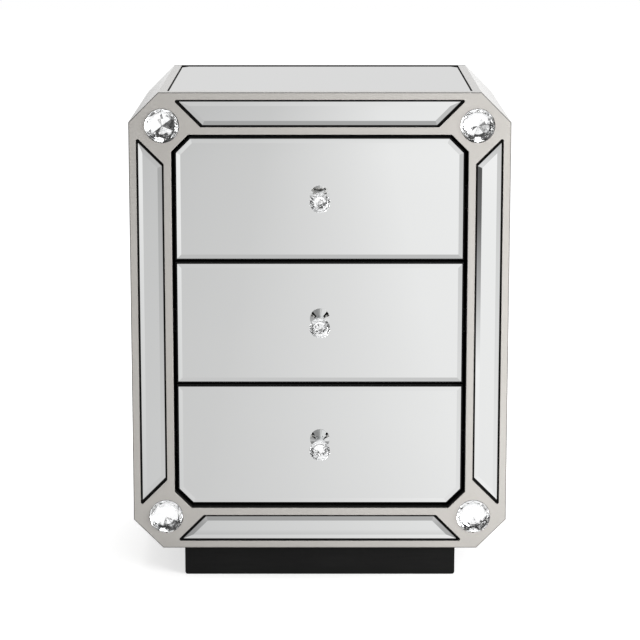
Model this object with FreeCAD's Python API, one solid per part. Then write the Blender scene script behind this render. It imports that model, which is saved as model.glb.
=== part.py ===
import FreeCAD, Part
import math
import os

# Mirrored nightstand: an octagonal cabinet on a plinth, with three drawers behind a mirrored front frame.
# +Z is up, the front faces -Y and +X is to the right of someone facing it. Sizes are in millimetres.
# The origin lies on the floor, under the middle of the whole object with its knobs.

# Cabinet body, an upright box with its four front-to-back edges cut at 45 degrees
BODY_WIDTH = 560.0
BODY_HEIGHT = 688.0
BODY_DEPTH = 432.0
BODY_CORNER_CUT = 44.0
PANEL_THICKNESS = 16.0
BACK_THICKNESS = 5.0

# Front frame
FRAME_THICKNESS = 20.0
FRAME_MEMBER_WIDTH = 62.0
FRAME_EDGE_ROUND = 1.0
OPENING_CORNER_CUT = 25.0

# Recesses in the front frame for the mirror strips, with ends cut at 45 degrees
FRAME_RIM = 10.8
STRIP_RECESS_WIDTH = 40.4
STRIP_RECESS_DEPTH = 7.0
STRIP_RECESS_ROUND = 2.5
STRIP_END_OFFSET = 54.0
STRIP_SIDE_GAP = 3.1
STRIP_END_GAP = 4.6

# Mirror glass, bevelled all round, more gently on the top and sides
MIRROR_THICKNESS = 5.0
FRONT_BEVEL_WIDTH = 6.2
FRONT_BEVEL_DROP = 1.2
PANEL_BEVEL_WIDTH = 12.0
PANEL_BEVEL_DROP = 0.75

# Faceted gems in the frame's corners
GEM_DIAMETER = 50.0
GEM_CORNER_DISTANCE = 49.0
GEM_SEAT_DEPTH = 6.0
GEM_SEAT_CLEARANCE = 0.4
GEM_DOME_HEIGHT = 9.0
GEM_TABLE_DIAMETER = 20.0
GEM_FACETS = 16
GEM_FACET_ROWS = 3

# Shallow channels in the top and side panels for their mirrors
CHANNEL_RIM = 12.0
CHANNEL_DEPTH = 6.0
CHANNEL_SIDE_GAP = 2.0
CHANNEL_FRONT_GAP = 0.5
CHANNEL_REAR_GAP = 1.6

# Plinth
PLINTH_HEIGHT = 50.0
PLINTH_SIDE_SETBACK = 75.0
PLINTH_FRONT_SETBACK = 30.0
PLINTH_REAR_SETBACK = 20.0
PLINTH_BOARD = 16.0
PLINTH_FOOT_ROUND = 4.0
PLINTH_BLOCK_SIZE = 34.0
PLINTH_BLOCK_FLOOR_GAP = 6.0

# Drawer fronts, a board with a mirror on it
DRAWER_NAMES = ("lower", "middle", "upper")
DRAWER_EDGE_GAP = 4.5
DRAWER_BETWEEN_GAP = 3.0
DRAWER_RECESS = 7.5
FRONT_BOARD = 15.0
FRONT_MIRROR_INSET = 2.5

# Drawer boxes
BOX_LENGTH = 375.0
BOX_HEIGHT = 120.0
BOX_BOARD = 12.0
BOX_BOTTOM = 5.0
BOX_BOTTOM_RISE = 10.0
BOX_GROOVE_DEPTH = 6.0
BOX_GROOVE_CLEARANCE = 0.2

# Runner panels and ball-bearing slides
RUNNER_PANEL = 15.0
RUNNER_OPENING_SETBACK = 1.0
DRAWER_TRAVEL = 260.0
SLIDE_SPACE = 13.0
RAIL_LENGTH = 350.0
RAIL_FRONT_GAP = 2.5
RAIL_HEIGHT = 35.0
RAIL_WALL = 1.5
RAIL_TIP_GAP = 1.0
BALL_DIAMETER = 5.0
BALL_CLEARANCE = 0.25
BALLS_PER_ROW = 5
CAGE_WALL = 0.8
CAGE_GAP = 0.3
CAGE_TRAVEL_MARGIN = 2.0

# Crystal knobs
KNOB_DIAMETER = 30.0
KNOB_LENGTH = 19.5
KNOB_CONE_HEIGHT = 9.5
KNOB_GIRDLE_HEIGHT = 1.0
KNOB_TABLE_DIAMETER = 15.0
KNOB_FOOT_DIAMETER = 10.0
KNOB_FACETS = 16
KNOB_FACET_ROWS = 2
FERRULE_HEIGHT = 27.5
FERRULE_FLANGE_DIAMETER = 18.0
FERRULE_FLANGE_HEIGHT = 2.5
FERRULE_NECK_DIAMETER = 9.0
FERRULE_CUP_DIAMETER = 14.0
FERRULE_CUP_HEIGHT = 4.0
KNOB_SCREW_DIAMETER = 4.0
KNOB_SCREW_GRIP = 9.0
KNOB_SCREW_HEAD_DIAMETER = 9.0
KNOB_SCREW_HEAD_HEIGHT = 2.5
KNOB_HOLE_CLEARANCE = 0.2
KNOB_THREAD_CLEARANCE = 0.05

# Screws that hold the back panel
BACK_SCREW_DIAMETER = 3.5
BACK_SCREW_HEAD_DIAMETER = 7.0
BACK_SCREW_LENGTH = 25.0
BACK_SCREW_CLEARANCE = 0.05
BACK_SCREW_CROSS_SPACING = 300.0
BACK_SCREW_UPRIGHT_SPACING = 190.0

# Room that a through cut takes past both faces
CUT_PAST = 1.0

# Sides of the octagonal body, anticlockwise as seen from the front
BOTTOM, BOTTOM_RIGHT, RIGHT, TOP_RIGHT, TOP, TOP_LEFT, LEFT, BOTTOM_LEFT = range(8)

# Planes and half sizes that follow from the driving dimensions
HALF_WIDTH = BODY_WIDTH / 2
BODY_LOW = PLINTH_HEIGHT
BODY_HIGH = PLINTH_HEIGHT + BODY_HEIGHT
BODY_MIDDLE = (BODY_LOW + BODY_HIGH) / 2
KNOB_REACH = FERRULE_HEIGHT + KNOB_LENGTH - DRAWER_RECESS
FRONT_Y = (KNOB_REACH - BODY_DEPTH) / 2
FRAME_BACK_Y = FRONT_Y + FRAME_THICKNESS
REAR_Y = FRONT_Y + BODY_DEPTH
BACK_PANEL_Y = REAR_Y - BACK_THICKNESS
OPENING_HALF = HALF_WIDTH - FRAME_MEMBER_WIDTH
OPENING_LOW = BODY_LOW + FRAME_MEMBER_WIDTH
OPENING_HIGH = BODY_HIGH - FRAME_MEMBER_WIDTH
DRAWER_MIRROR_FACE_Y = FRONT_Y + DRAWER_RECESS
FRONT_BOARD_Y = DRAWER_MIRROR_FACE_Y + MIRROR_THICKNESS
BOX_FRONT_Y = FRONT_BOARD_Y + FRONT_BOARD
BOX_REAR_Y = BOX_FRONT_Y + BOX_LENGTH
FRONTS_HEIGHT = OPENING_HIGH - OPENING_LOW - 2 * DRAWER_EDGE_GAP
DRAWER_COUNT = len(DRAWER_NAMES)
DRAWER_HEIGHT = (FRONTS_HEIGHT - (DRAWER_COUNT - 1) * DRAWER_BETWEEN_GAP) / DRAWER_COUNT
RUNNER_FACE_X = OPENING_HALF + RUNNER_OPENING_SETBACK
BOX_HALF = RUNNER_FACE_X - SLIDE_SPACE
RAIL_FRONT_Y = max(FRAME_BACK_Y, BOX_FRONT_Y) + RAIL_FRONT_GAP


def vector(x, y, z):
    return FreeCAD.Vector(x, y, z)


def octagon(half_width, low, high, cut):
    """Corners (x, z) of an upright rectangle with cut corners, anticlockwise."""
    return [
        (cut - half_width, low), (half_width - cut, low),
        (half_width, low + cut), (half_width, high - cut),
        (half_width - cut, high), (cut - half_width, high),
        (-half_width, high - cut), (-half_width, low + cut),
    ]


def rectangle(left, right, low, high):
    return [(left, low), (right, low), (right, high), (left, high)]


def inset(outline, distance):
    """A convex anticlockwise outline with every side moved inwards."""
    moved = []
    count = len(outline)
    for index in range(count):
        before, corner, after = (outline[(index + step) % count] for step in (-1, 0, 1))
        first = inward_normal(before, corner)
        second = inward_normal(corner, after)
        share = distance / (1 + first[0] * second[0] + first[1] * second[1])
        moved.append((corner[0] + share * (first[0] + second[0]), corner[1] + share * (first[1] + second[1])))
    return moved


def inward_normal(start, end):
    run = (end[0] - start[0], end[1] - start[1])
    length = math.hypot(*run)
    return (-run[1] / length, run[0] / length)


def clipped(outline, limit, keep_above):
    """The part of an outline above or below a height."""
    sign = 1 if keep_above else -1
    kept = []
    for index, end in enumerate(outline):
        start = outline[index - 1]
        start_room = sign * (start[1] - limit)
        end_room = sign * (end[1] - limit)
        if start_room * end_room < 0:
            share = start_room / (start_room - end_room)
            kept.append((start[0] + share * (end[0] - start[0]), limit))
        if end_room >= 0:
            kept.append(end)
    return kept


def turned(outline, quarters):
    """An outline turned anticlockwise about its origin by quarter turns."""
    for _ in range(quarters):
        outline = [(-second, first) for first, second in outline]
    return outline


def polygon(corners):
    return Part.Face(Part.makePolygon(corners + corners[:1]))


def prism(outline, front, rear):
    """An (x, z) outline stretched along Y."""
    return polygon([vector(x, front, z) for x, z in outline]).extrude(vector(0, rear - front, 0))


def box(low, high):
    return Part.makeBox(high[0] - low[0], high[1] - low[1], high[2] - low[2], vector(*low))


def cylinder_along_y(radius, x, z, front, rear):
    return Part.makeCylinder(radius, rear - front, vector(x, front, z), vector(0, 1, 0))


def solid_from(faces):
    """A closed solid from planar faces, turned the right way out."""
    shell = Part.makeShell(faces)
    shell.sewShape()
    solid = Part.makeSolid(shell)
    if solid.Volume < 0:
        solid.reverse()
    return solid


def facing_front(face_y, x=0.0, z=0.0):
    """Places plate coordinates (across, up, out) on a plane that faces -Y."""
    return lambda across, up, out: vector(x + across, face_y - out, z + up)


def facing_up(face_z):
    return lambda across, along, out: vector(across, along, face_z + out)


def facing_side(face_x, side):
    """The same on the left (-1) or right (+1) of the body."""
    return lambda along, up, out: vector(face_x + side * out, along, up)


def bevelled_mirror(outline, place, bevel_width, bevel_drop):
    """A mirror plate whose face is bevelled along every side."""
    edge_height = MIRROR_THICKNESS - bevel_drop
    flat = inset(outline, bevel_width)
    rings = [
        [place(first, second, 0.0) for first, second in outline],
        [place(first, second, edge_height) for first, second in outline],
        [place(first, second, MIRROR_THICKNESS) for first, second in flat],
    ]
    faces = [polygon(rings[0]), polygon(rings[-1])]
    for lower, upper in zip(rings, rings[1:]):
        for index in range(len(outline)):
            faces.append(polygon([lower[index - 1], lower[index], upper[index], upper[index - 1]]))
    return solid_from(faces)


def faceted_stone(rings, facets, place):
    """A cut stone: each ring (radius, height) of corners is turned half a facet from the ring below it."""
    loops = []
    for row, (radius, height) in enumerate(rings):
        angles = [2 * math.pi * (step + row / 2) / facets for step in range(facets)]
        loops.append([place(radius * math.cos(a), radius * math.sin(a), height) for a in angles])
    faces = [polygon(loops[0]), polygon(loops[-1])]
    for lower, upper in zip(loops, loops[1:]):
        for index in range(facets):
            following = (index + 1) % facets
            faces.append(polygon([lower[index], lower[following], upper[index]]))
            faces.append(polygon([lower[following], upper[following], upper[index]]))
    return solid_from(faces)


def dome_rings(girdle_radius, table_radius, base, rise, rows):
    """Rings of an elliptic dome above its girdle, up to the rim of its flat table."""
    last = math.acos(table_radius / girdle_radius)
    rings = []
    for row in range(1, rows + 1):
        angle = last * row / rows
        rings.append((girdle_radius * math.cos(angle), base + rise * math.sin(angle) / math.sin(last)))
    return rings


# Cabinet

def body_outline():
    return octagon(HALF_WIDTH, BODY_LOW, BODY_HIGH, BODY_CORNER_CUT)


def inner_outline():
    return inset(body_outline(), PANEL_THICKNESS)


def opening_outline():
    return octagon(OPENING_HALF, OPENING_LOW, OPENING_HIGH, OPENING_CORNER_CUT)


def strip_outlines(side_gap=0.0, end_gap=0.0):
    """The four recesses by name, with the long side outwards, or with gaps the mirrors that lie in them."""
    outlines = {}
    width = STRIP_RECESS_WIDTH - 2 * side_gap
    for quarters, name in enumerate(("top", "left", "bottom", "right")):
        upright = quarters % 2 == 1
        half_length = BODY_HEIGHT / 2 if upright else HALF_WIDTH
        half_across = HALF_WIDTH if upright else BODY_HEIGHT / 2
        outer = half_across - FRAME_RIM - side_gap
        inner = outer - width
        long_half = half_length - STRIP_END_OFFSET - FRAME_RIM - side_gap - end_gap * math.sqrt(2)
        short_half = long_half - width
        trapezoid = [(-short_half, inner), (short_half, inner), (long_half, outer), (-long_half, outer)]
        outlines[name] = [(x, BODY_MIDDLE + z) for x, z in turned(trapezoid, quarters)]
    return outlines


def gem_centres():
    x = HALF_WIDTH - GEM_CORNER_DISTANCE
    z = BODY_HEIGHT / 2 - GEM_CORNER_DISTANCE
    return [(side * x, BODY_MIDDLE + level * z) for side in (-1, 1) for level in (-1, 1)]


def front_frame():
    frame = prism(body_outline(), FRONT_Y, FRAME_BACK_Y)
    frame = frame.cut(prism(opening_outline(), FRONT_Y - CUT_PAST, FRAME_BACK_Y + CUT_PAST))
    front_edges = [edge for edge in frame.Edges if edge.BoundBox.YMax < FRONT_Y + CUT_PAST]
    frame = frame.makeFillet(FRAME_EDGE_ROUND, front_edges)
    for outline in strip_outlines().values():
        cutter = prism(outline, FRONT_Y - CUT_PAST, FRONT_Y + STRIP_RECESS_DEPTH)
        corners = [edge for edge in cutter.Edges if edge.BoundBox.YLength > STRIP_RECESS_DEPTH]
        frame = frame.cut(cutter.makeFillet(STRIP_RECESS_ROUND, corners))
    seat_radius = GEM_DIAMETER / 2 + GEM_SEAT_CLEARANCE
    for x, z in gem_centres():
        frame = frame.cut(cylinder_along_y(seat_radius, x, z, FRONT_Y - CUT_PAST, FRONT_Y + GEM_SEAT_DEPTH))
    return frame


def front_mirror(name):
    outline = strip_outlines(STRIP_SIDE_GAP, STRIP_END_GAP)[name]
    place = facing_front(FRONT_Y + STRIP_RECESS_DEPTH)
    return bevelled_mirror(outline, place, FRONT_BEVEL_WIDTH, FRONT_BEVEL_DROP)


def corner_gem(x, z):
    radius = GEM_DIAMETER / 2
    girdle = [(radius, 0.0), (radius, GEM_SEAT_DEPTH)]
    dome = dome_rings(radius, GEM_TABLE_DIAMETER / 2, GEM_SEAT_DEPTH, GEM_DOME_HEIGHT, GEM_FACET_ROWS)
    return faceted_stone(girdle + dome, GEM_FACETS, facing_front(FRONT_Y + GEM_SEAT_DEPTH, x, z))


def body_panel(side):
    """One of the eight mitred boards round the body."""
    outer = body_outline()
    inner = inner_outline()
    following = (side + 1) % len(outer)
    section = [outer[side], outer[following], inner[following], inner[side]]
    return prism(section, FRAME_BACK_Y, BACK_PANEL_Y)


def channel_half(half_length):
    """Half the width of a mirror channel in a panel of that half length."""
    return half_length - CHANNEL_RIM


def top_panel():
    half = channel_half(HALF_WIDTH - BODY_CORNER_CUT)
    channel = box((-half, FRAME_BACK_Y - CUT_PAST, BODY_HIGH - CHANNEL_DEPTH),
                  (half, BACK_PANEL_Y + CUT_PAST, BODY_HIGH + CUT_PAST))
    return without_back_screws(body_panel(TOP).cut(channel))


def top_mirror():
    half = channel_half(HALF_WIDTH - BODY_CORNER_CUT) - CHANNEL_SIDE_GAP
    outline = rectangle(-half, half, FRAME_BACK_Y + CHANNEL_FRONT_GAP, BACK_PANEL_Y - CHANNEL_REAR_GAP)
    place = facing_up(BODY_HIGH - CHANNEL_DEPTH)
    return bevelled_mirror(outline, place, PANEL_BEVEL_WIDTH, PANEL_BEVEL_DROP)


def side_panel(side):
    half = channel_half(BODY_HEIGHT / 2 - BODY_CORNER_CUT)
    outer_x = HALF_WIDTH + CUT_PAST
    floor_x = HALF_WIDTH - CHANNEL_DEPTH
    x_range = sorted((side * outer_x, side * floor_x))
    channel = box((x_range[0], FRAME_BACK_Y - CUT_PAST, BODY_MIDDLE - half),
                  (x_range[1], BACK_PANEL_Y + CUT_PAST, BODY_MIDDLE + half))
    return without_back_screws(body_panel(RIGHT if side > 0 else LEFT).cut(channel))


def side_mirror(side):
    half = channel_half(BODY_HEIGHT / 2 - BODY_CORNER_CUT) - CHANNEL_SIDE_GAP
    outline = rectangle(FRAME_BACK_Y + CHANNEL_FRONT_GAP, BACK_PANEL_Y - CHANNEL_REAR_GAP,
                        BODY_MIDDLE - half, BODY_MIDDLE + half)
    place = facing_side(side * (HALF_WIDTH - CHANNEL_DEPTH), side)
    return bevelled_mirror(outline, place, PANEL_BEVEL_WIDTH, PANEL_BEVEL_DROP)


def bottom_panel():
    return without_back_screws(body_panel(BOTTOM))


def back_panel():
    return without_back_screws(prism(body_outline(), BACK_PANEL_Y, REAR_Y))


def back_screw_places():
    """Screw centres (x, z), along the middle of the wood behind each board."""
    web = PANEL_THICKNESS - CHANNEL_DEPTH
    inner = inner_outline()
    inner_half = max(x for x, z in inner)
    inner_low = min(z for x, z in inner)
    inner_high = max(z for x, z in inner)
    places = []
    for side in (-1, 1):
        x = side * BACK_SCREW_CROSS_SPACING / 2
        places.append((x, inner_high + web / 2))
        places.append((x, inner_low - web / 2))
        for step in (-1, 0, 1):
            places.append((side * (inner_half + web / 2), BODY_MIDDLE + step * BACK_SCREW_UPRIGHT_SPACING))
    return places


def back_screw(x, z, clearance=0.0):
    """A countersunk wood screw flush with the rear face, or with a clearance the hole for it."""
    shank_radius = BACK_SCREW_DIAMETER / 2 + clearance
    head_radius = BACK_SCREW_HEAD_DIAMETER / 2 + clearance
    tip_y = REAR_Y - BACK_SCREW_LENGTH - clearance
    shank = cylinder_along_y(shank_radius, x, z, tip_y, REAR_Y)
    sink = head_radius - shank_radius
    head = Part.makeCone(head_radius, shank_radius, sink, vector(x, REAR_Y, z), vector(0, -1, 0))
    return shank.fuse(head).removeSplitter()


def without_back_screws(board):
    for x, z in back_screw_places():
        board = board.cut(back_screw(x, z, BACK_SCREW_CLEARANCE))
    return board


def runner_panel(side):
    """An upright board behind the frame, fitted between the bottom and the top."""
    x_range = sorted((side * RUNNER_FACE_X, side * (RUNNER_FACE_X + RUNNER_PANEL)))
    board = box((x_range[0], FRAME_BACK_Y, BODY_LOW), (x_range[1], BACK_PANEL_Y, BODY_HIGH))
    return board.common(prism(inner_outline(), FRAME_BACK_Y, BACK_PANEL_Y))


# Plinth

PLINTH_HALF = HALF_WIDTH - PLINTH_SIDE_SETBACK
PLINTH_FRONT_Y = FRONT_Y + PLINTH_FRONT_SETBACK
PLINTH_REAR_Y = REAR_Y - PLINTH_REAR_SETBACK


def plinth_cross_board(front):
    """The front or rear board, with its two lower corners rounded."""
    board = box((-PLINTH_HALF, front, 0.0), (PLINTH_HALF, front + PLINTH_BOARD, PLINTH_HEIGHT))
    low_edges = [edge for edge in board.Edges if edge.BoundBox.ZMax < PLINTH_HEIGHT / 2]
    low_ends = [edge for edge in low_edges if edge.BoundBox.YLength > PLINTH_BOARD / 2]
    return board.makeFillet(PLINTH_FOOT_ROUND, low_ends)


def plinth_side_board(side):
    x_range = sorted((side * PLINTH_HALF, side * (PLINTH_HALF - PLINTH_BOARD)))
    return box((x_range[0], PLINTH_FRONT_Y + PLINTH_BOARD, 0.0),
               (x_range[1], PLINTH_REAR_Y - PLINTH_BOARD, PLINTH_HEIGHT))


def plinth_corner_blocks():
    """Three-cornered blocks glued into the plinth's inner corners, under the bottom panel."""
    inner_half = PLINTH_HALF - PLINTH_BOARD
    front = PLINTH_FRONT_Y + PLINTH_BOARD
    rear = PLINTH_REAR_Y - PLINTH_BOARD
    blocks = []
    for side in (-1, 1):
        for corner_y, run in ((front, PLINTH_BLOCK_SIZE), (rear, -PLINTH_BLOCK_SIZE)):
            corner_x = side * inner_half
            corners = [
                vector(corner_x, corner_y, PLINTH_BLOCK_FLOOR_GAP),
                vector(corner_x - side * PLINTH_BLOCK_SIZE, corner_y, PLINTH_BLOCK_FLOOR_GAP),
                vector(corner_x, corner_y + run, PLINTH_BLOCK_FLOOR_GAP),
            ]
            blocks.append(polygon(corners).extrude(vector(0, 0, PLINTH_HEIGHT - PLINTH_BLOCK_FLOOR_GAP)))
    return Part.makeCompound(blocks)


# Drawers, counted from the lowest

def drawer_low(index):
    return OPENING_LOW + DRAWER_EDGE_GAP + index * (DRAWER_HEIGHT + DRAWER_BETWEEN_GAP)


def drawer_middle(index):
    return drawer_low(index) + DRAWER_HEIGHT / 2


def box_low(index):
    return drawer_middle(index) - BOX_HEIGHT / 2


def front_board_outline(index):
    """The drawer's share of the opening, so the outer drawers take the opening's cut corners."""
    outline = clipped(inset(opening_outline(), DRAWER_EDGE_GAP), drawer_low(index), keep_above=True)
    return clipped(outline, drawer_low(index) + DRAWER_HEIGHT, keep_above=False)


def knob_hole(index, clearance):
    radius = KNOB_SCREW_DIAMETER / 2 + clearance
    return cylinder_along_y(radius, 0.0, drawer_middle(index), DRAWER_MIRROR_FACE_Y - CUT_PAST,
                            BOX_FRONT_Y + CUT_PAST)


def bottom_groove(index):
    """Room for the drawer's bottom board in the front board and both sides."""
    low = box_low(index) + BOX_BOTTOM_RISE
    half = BOX_HALF - BOX_BOARD + BOX_GROOVE_DEPTH
    return box((-half, BOX_FRONT_Y - BOX_GROOVE_DEPTH, low - BOX_GROOVE_CLEARANCE),
               (half, BOX_REAR_Y + CUT_PAST, low + BOX_BOTTOM + BOX_GROOVE_CLEARANCE))


def drawer_front_board(index):
    board = prism(front_board_outline(index), FRONT_BOARD_Y, BOX_FRONT_Y)
    return board.cut(bottom_groove(index)).cut(knob_hole(index, KNOB_HOLE_CLEARANCE))


def drawer_mirror(index):
    outline = inset(front_board_outline(index), FRONT_MIRROR_INSET)
    plate = bevelled_mirror(outline, facing_front(FRONT_BOARD_Y), FRONT_BEVEL_WIDTH, FRONT_BEVEL_DROP)
    return plate.cut(knob_hole(index, KNOB_HOLE_CLEARANCE))


def drawer_side(index, side):
    x_range = sorted((side * BOX_HALF, side * (BOX_HALF - BOX_BOARD)))
    low = box_low(index)
    board = box((x_range[0], BOX_FRONT_Y, low), (x_range[1], BOX_REAR_Y, low + BOX_HEIGHT))
    return board.cut(bottom_groove(index))


def drawer_rear_board(index):
    """The rear board stands on the bottom board, between the sides."""
    half = BOX_HALF - BOX_BOARD
    low = box_low(index)
    return box((-half, BOX_REAR_Y - BOX_BOARD, low + BOX_BOTTOM_RISE + BOX_BOTTOM),
               (half, BOX_REAR_Y, low + BOX_HEIGHT))


def drawer_bottom_board(index):
    half = BOX_HALF - BOX_BOARD + BOX_GROOVE_DEPTH - BOX_GROOVE_CLEARANCE
    low = box_low(index) + BOX_BOTTOM_RISE
    front = BOX_FRONT_Y - BOX_GROOVE_DEPTH + BOX_GROOVE_CLEARANCE
    return box((-half, front, low), (half, BOX_REAR_Y, low + BOX_BOTTOM))


# Ball-bearing slides, drawn for the right side and mirrored for the left

BALL_ROOM = BALL_DIAMETER + 2 * BALL_CLEARANCE
BALL_ROW_Z = RAIL_HEIGHT / 2 - RAIL_WALL - BALL_ROOM / 2
DRAWER_RAIL_HALF = RAIL_HEIGHT / 2 - RAIL_WALL - BALL_ROOM
CAGE_LENGTH = RAIL_LENGTH - DRAWER_TRAVEL - 2 * CAGE_TRAVEL_MARGIN
CAGE_FRONT_Y = RAIL_FRONT_Y + DRAWER_TRAVEL / 2 + CAGE_TRAVEL_MARGIN
CAGE_OUTER_X = RUNNER_FACE_X - RAIL_WALL - CAGE_GAP
CAGE_INNER_X = CAGE_OUTER_X - CAGE_WALL
DRAWER_RAIL_TIP_X = CAGE_INNER_X - CAGE_GAP
CABINET_RAIL_TIP_X = BOX_HALF + RAIL_WALL + RAIL_TIP_GAP
BALL_ROW_X = (CABINET_RAIL_TIP_X + DRAWER_RAIL_TIP_X) / 2


def channel_bar(web_x, tip_x, half_height, wall, front, rear, middle):
    """A thin U-shaped bar along Y: its web at web_x and both flanges out to tip_x."""
    inner_x = web_x + math.copysign(wall, tip_x - web_x)
    web_range = sorted((web_x, inner_x))
    flange_range = sorted((web_x, tip_x))
    bar = box((web_range[0], front, middle - half_height), (web_range[1], rear, middle + half_height))
    for level in (half_height - wall, -half_height):
        flange = box((flange_range[0], front, middle + level), (flange_range[1], rear, middle + level + wall))
        bar = bar.fuse(flange)
    return bar.removeSplitter()


def mirrored_pair(shape):
    return [shape, shape.mirror(vector(0, 0, 0), vector(1, 0, 0))]


def cabinet_slide_rails():
    rails = []
    for index in range(DRAWER_COUNT):
        rails += mirrored_pair(channel_bar(RUNNER_FACE_X, CABINET_RAIL_TIP_X, RAIL_HEIGHT / 2, RAIL_WALL,
                                           RAIL_FRONT_Y, RAIL_FRONT_Y + RAIL_LENGTH, drawer_middle(index)))
    return Part.makeCompound(rails)


def drawer_slide_rails(index):
    return Part.makeCompound(mirrored_pair(
        channel_bar(BOX_HALF, DRAWER_RAIL_TIP_X, DRAWER_RAIL_HALF, RAIL_WALL,
                    RAIL_FRONT_Y, RAIL_FRONT_Y + RAIL_LENGTH, drawer_middle(index))))


def ball_cages(index):
    """A thin cage between the two rails of each slide, with its balls."""
    middle = drawer_middle(index)
    cage = channel_bar(CAGE_OUTER_X, CABINET_RAIL_TIP_X, BALL_ROW_Z + CAGE_WALL / 2, CAGE_WALL,
                       CAGE_FRONT_Y, CAGE_FRONT_Y + CAGE_LENGTH, middle)
    pitch = CAGE_LENGTH / BALLS_PER_ROW
    hole_radius = BALL_DIAMETER / 2 + BALL_CLEARANCE
    balls = []
    for step in range(BALLS_PER_ROW):
        y = CAGE_FRONT_Y + pitch * (step + 0.5)
        for row_z in (middle - BALL_ROW_Z, middle + BALL_ROW_Z):
            foot = vector(BALL_ROW_X, y, row_z - BALL_ROOM / 2)
            cage = cage.cut(Part.makeCylinder(hole_radius, BALL_ROOM, foot))
            balls.append(Part.makeSphere(BALL_DIAMETER / 2, vector(BALL_ROW_X, y, row_z)))
    pieces = []
    for shape in [cage] + balls:
        pieces += mirrored_pair(shape)
    return Part.makeCompound(pieces)


# Knobs

def knob_ferrule(index):
    """A turned metal foot: a flange on the mirror, a neck and a cup under the crystal."""
    neck_height = FERRULE_HEIGHT - FERRULE_FLANGE_HEIGHT - FERRULE_CUP_HEIGHT
    profile = [
        (0.0, 0.0), (FERRULE_FLANGE_DIAMETER / 2, 0.0),
        (FERRULE_FLANGE_DIAMETER / 2, FERRULE_FLANGE_HEIGHT / 2),
        (FERRULE_NECK_DIAMETER / 2, FERRULE_FLANGE_HEIGHT),
        (FERRULE_NECK_DIAMETER / 2, FERRULE_FLANGE_HEIGHT + neck_height),
        (FERRULE_CUP_DIAMETER / 2, FERRULE_HEIGHT - FERRULE_CUP_HEIGHT / 2),
        (FERRULE_CUP_DIAMETER / 2, FERRULE_HEIGHT), (0.0, FERRULE_HEIGHT),
    ]
    middle = drawer_middle(index)
    corners = [vector(radius, DRAWER_MIRROR_FACE_Y - height, middle) for radius, height in profile]
    ferrule = polygon(corners).revolve(vector(0, 0, middle), vector(0, 1, 0), 360)
    bore_radius = KNOB_SCREW_DIAMETER / 2 + KNOB_THREAD_CLEARANCE
    bore_front = DRAWER_MIRROR_FACE_Y - KNOB_SCREW_GRIP - CUT_PAST
    bore = cylinder_along_y(bore_radius, 0.0, middle, bore_front, DRAWER_MIRROR_FACE_Y + CUT_PAST)
    return ferrule.cut(bore)


def knob_crystal(index):
    """A cut crystal: a cone that stands on the ferrule, a thin girdle and a faceted crown."""
    girdle_radius = KNOB_DIAMETER / 2
    crown_base = KNOB_CONE_HEIGHT + KNOB_GIRDLE_HEIGHT
    cone = [(KNOB_FOOT_DIAMETER / 2, 0.0), (girdle_radius, KNOB_CONE_HEIGHT), (girdle_radius, crown_base)]
    crown = dome_rings(girdle_radius, KNOB_TABLE_DIAMETER / 2, crown_base, KNOB_LENGTH - crown_base,
                       KNOB_FACET_ROWS)
    return faceted_stone(cone + crown, KNOB_FACETS,
                         facing_front(DRAWER_MIRROR_FACE_Y - FERRULE_HEIGHT, 0.0, drawer_middle(index)))


def knob_screw(index):
    middle = drawer_middle(index)
    shank = cylinder_along_y(KNOB_SCREW_DIAMETER / 2, 0.0, middle, DRAWER_MIRROR_FACE_Y - KNOB_SCREW_GRIP,
                             BOX_FRONT_Y)
    head = cylinder_along_y(KNOB_SCREW_HEAD_DIAMETER / 2, 0.0, middle, BOX_FRONT_Y,
                            BOX_FRONT_Y + KNOB_SCREW_HEAD_HEIGHT)
    return shank.fuse(head)


def all_pieces():
    pieces = {
        "front_frame": front_frame(),
        "corner_gems": Part.makeCompound([corner_gem(x, z) for x, z in gem_centres()]),
        "top_panel": top_panel(),
        "top_mirror": top_mirror(),
        "bottom_panel": bottom_panel(),
        "back_panel": back_panel(),
        "back_panel_screws": Part.makeCompound([back_screw(x, z) for x, z in back_screw_places()]),
        "plinth_front_board": plinth_cross_board(PLINTH_FRONT_Y),
        "plinth_rear_board": plinth_cross_board(PLINTH_REAR_Y - PLINTH_BOARD),
        "plinth_corner_blocks": plinth_corner_blocks(),
        "cabinet_slide_rails": cabinet_slide_rails(),
        "bottom_right_corner_rail": body_panel(BOTTOM_RIGHT),
        "top_right_corner_rail": body_panel(TOP_RIGHT),
        "top_left_corner_rail": body_panel(TOP_LEFT),
        "bottom_left_corner_rail": body_panel(BOTTOM_LEFT),
    }
    for name in strip_outlines():
        pieces["front_mirror_" + name] = front_mirror(name)
    for side, name in ((-1, "left"), (1, "right")):
        pieces[name + "_side_panel"] = side_panel(side)
        pieces[name + "_side_mirror"] = side_mirror(side)
        pieces[name + "_runner_panel"] = runner_panel(side)
        pieces["plinth_" + name + "_board"] = plinth_side_board(side)
    for index, name in enumerate(DRAWER_NAMES):
        drawer = name + "_drawer_"
        pieces[drawer + "front_board"] = drawer_front_board(index)
        pieces[drawer + "mirror"] = drawer_mirror(index)
        pieces[drawer + "left_side"] = drawer_side(index, -1)
        pieces[drawer + "right_side"] = drawer_side(index, 1)
        pieces[drawer + "rear_board"] = drawer_rear_board(index)
        pieces[drawer + "bottom_board"] = drawer_bottom_board(index)
        pieces[drawer + "slide_rails"] = drawer_slide_rails(index)
        pieces[drawer + "ball_cages"] = ball_cages(index)
        pieces[drawer + "knob_ferrule"] = knob_ferrule(index)
        pieces[drawer + "knob_crystal"] = knob_crystal(index)
        pieces[drawer + "knob_screw"] = knob_screw(index)
    return pieces


os.makedirs("parts", exist_ok=True)
for node, shape in all_pieces().items():
    shape.exportStep(os.path.join("parts", node + ".step"))
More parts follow.
